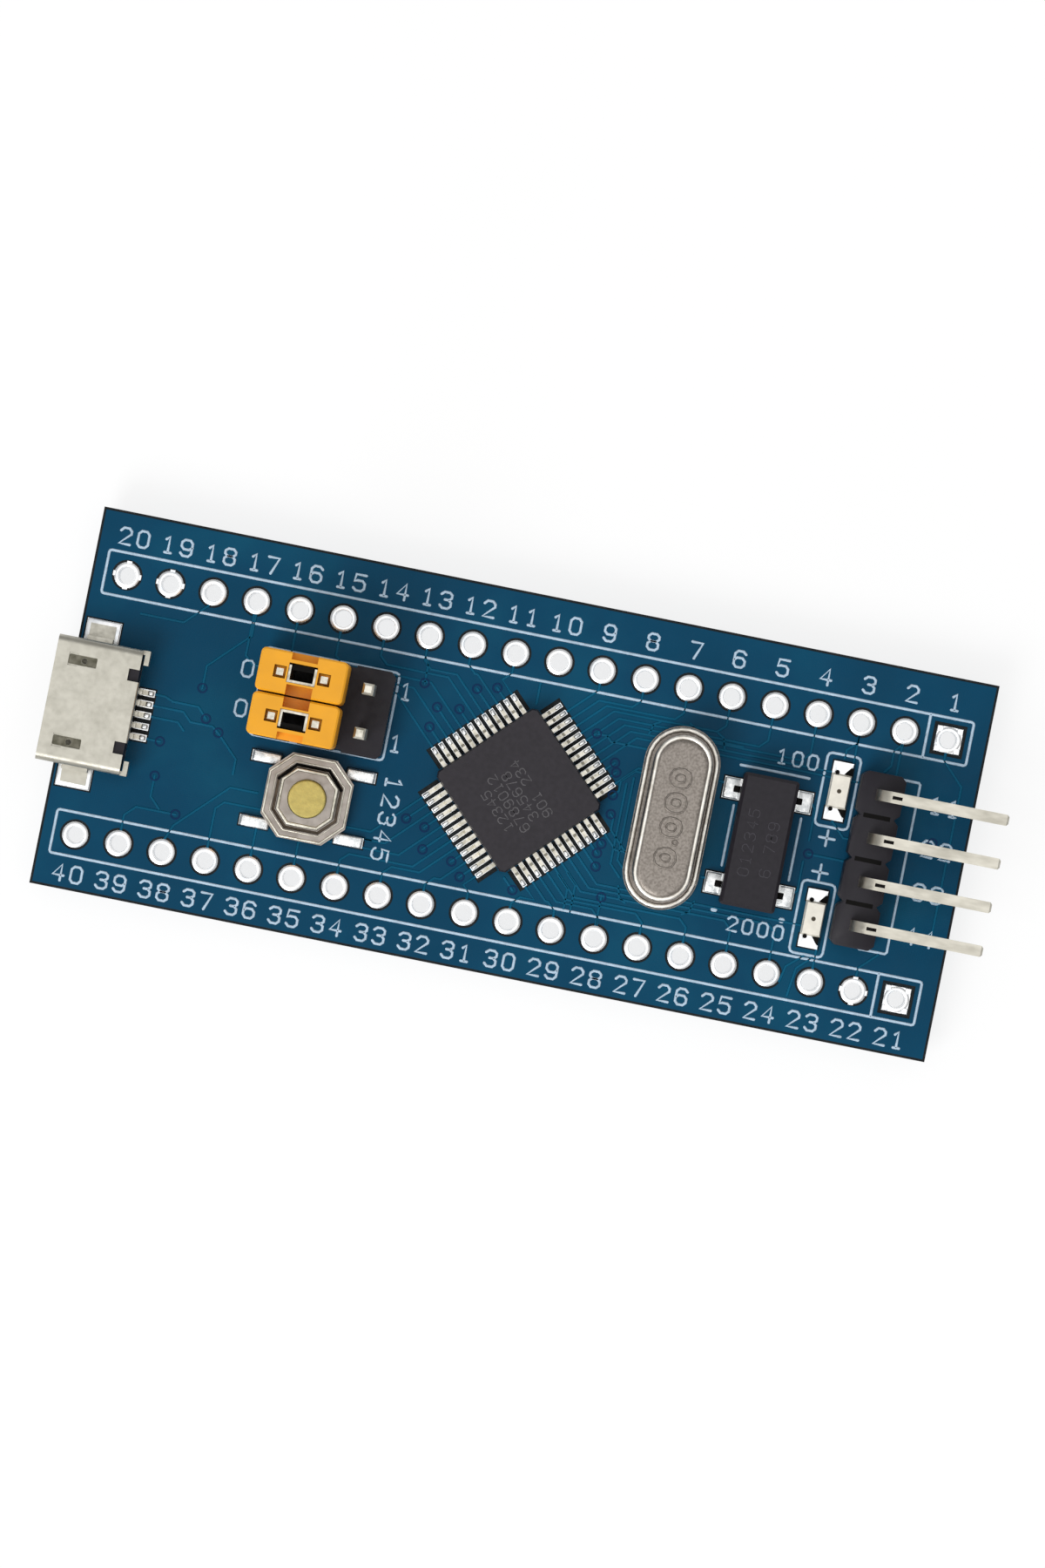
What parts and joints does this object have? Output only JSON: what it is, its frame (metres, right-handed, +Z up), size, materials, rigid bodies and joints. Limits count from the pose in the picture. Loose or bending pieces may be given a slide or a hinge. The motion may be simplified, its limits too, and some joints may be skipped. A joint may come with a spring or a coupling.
{
  "type": "microcontroller development board",
  "caption": "Narrow blue microcontroller board with a USB inlet, reset button, pull-off jumper caps, side-facing debug pins and edge rows of plated header holes.",
  "frame": {"origin": "centre of the two rows of header holes, on the laminate's underside", "axes": "+X along the board towards the debug header, away from the USB inlet; +Z up from the underside to the component side"},
  "size_m": [0.0553, 0.0222, 0.0117],
  "materials": {
    "laminate": "blue coated glass laminate",
    "tinned": "tinned copper",
    "steel_shell": "satin plated steel",
    "black_plastic": "moulded",
    "chip_plastic": "moulded, fine grained",
    "yellow_plastic": "moulded",
    "pin_metal": "tinned brass",
    "solder": "bright solder",
    "can_metal": "satin nickel plate",
    "button_plastic": "pale yellow moulding",
    "spring_metal": "stainless spring steel",
    "silicon": "polished silicon",
    "copper": "copper alloy",
    "bead_glass": "sealing glass",
    "quartz": "polished quartz",
    "lamp_lens": "clear moulding",
    "lamp_base": "white laminate",
    "ceramic_tan": "fired ceramic",
    "resistor_black": "glazed",
    "gold_plate": "gold flash"
  },
  "bodies": {
    "board": {"circuit_board": "laminate", "header_hole_pads": "tinned", "top_lands": "tinned", "underside_lands": "tinned", "usb_shell": "steel_shell", "usb_insulator": "black_plastic", "usb_contact_springs": "gold_plate", "boot_header_block": "black_plastic", "boot_header_pins": "pin_metal", "boot_header_solder": "solder", "debug_header_block": "black_plastic", "debug_header_pins": "pin_metal", "debug_header_solder": "solder", "reset_switch_base": "black_plastic", "reset_switch_cover": "can_metal", "reset_switch_contacts": "gold_plate", "reset_dome": "spring_metal", "reset_switch_leads": "solder", "microcontroller_body": "chip_plastic", "microcontroller_die": "silicon", "microcontroller_paddle": "copper", "microcontroller_leads": "tinned", "main_crystal_base": "can_metal", "main_crystal_beads": "bead_glass", "main_crystal_can": "can_metal", "main_crystal_legs": "pin_metal", "main_crystal_springs": "spring_metal", "quartz_blank": "quartz", "main_crystal_solder": "solder", "clock_crystal_body": "chip_plastic", "clock_crystal_leads": "solder", "power_lamp_base": "lamp_base", "user_lamp_base": "lamp_base", "power_lamp_lens": "lamp_lens", "user_lamp_lens": "lamp_lens", "lamp_terminals": "solder", "regulator_body": "chip_plastic", "regulator_leads": "tinned", "capacitor_bodies": "ceramic_tan", "capacitor_ends": "tinned", "resistor_bodies": "resistor_black", "resistor_ends": "tinned"},
    "upper_jumper": {"jumper_cap_upper": "yellow_plastic", "jumper_clip_upper": "pin_metal"},
    "lower_jumper": {"jumper_cap_lower": "yellow_plastic", "jumper_clip_lower": "pin_metal"},
    "reset_plunger": {"reset_button": "button_plastic"}
  },
  "joints": [
    {"name": "reset_press", "type": "slide", "parent": "board", "child": "reset_plunger", "axis": [0, 0, -1], "range_m": [0, 0.00025], "stiffness_N_per_m": 1500, "springref_m": -0.0001, "deforming": ["reset_dome"]},
    {"name": "upper_jumper_pull", "type": "slide", "parent": "board", "child": "upper_jumper", "axis": [0, 0, 1], "range_m": [0, 0.008]},
    {"name": "lower_jumper_pull", "type": "slide", "parent": "board", "child": "lower_jumper", "axis": [0, 0, 1], "range_m": [0, 0.008]}
  ]
}
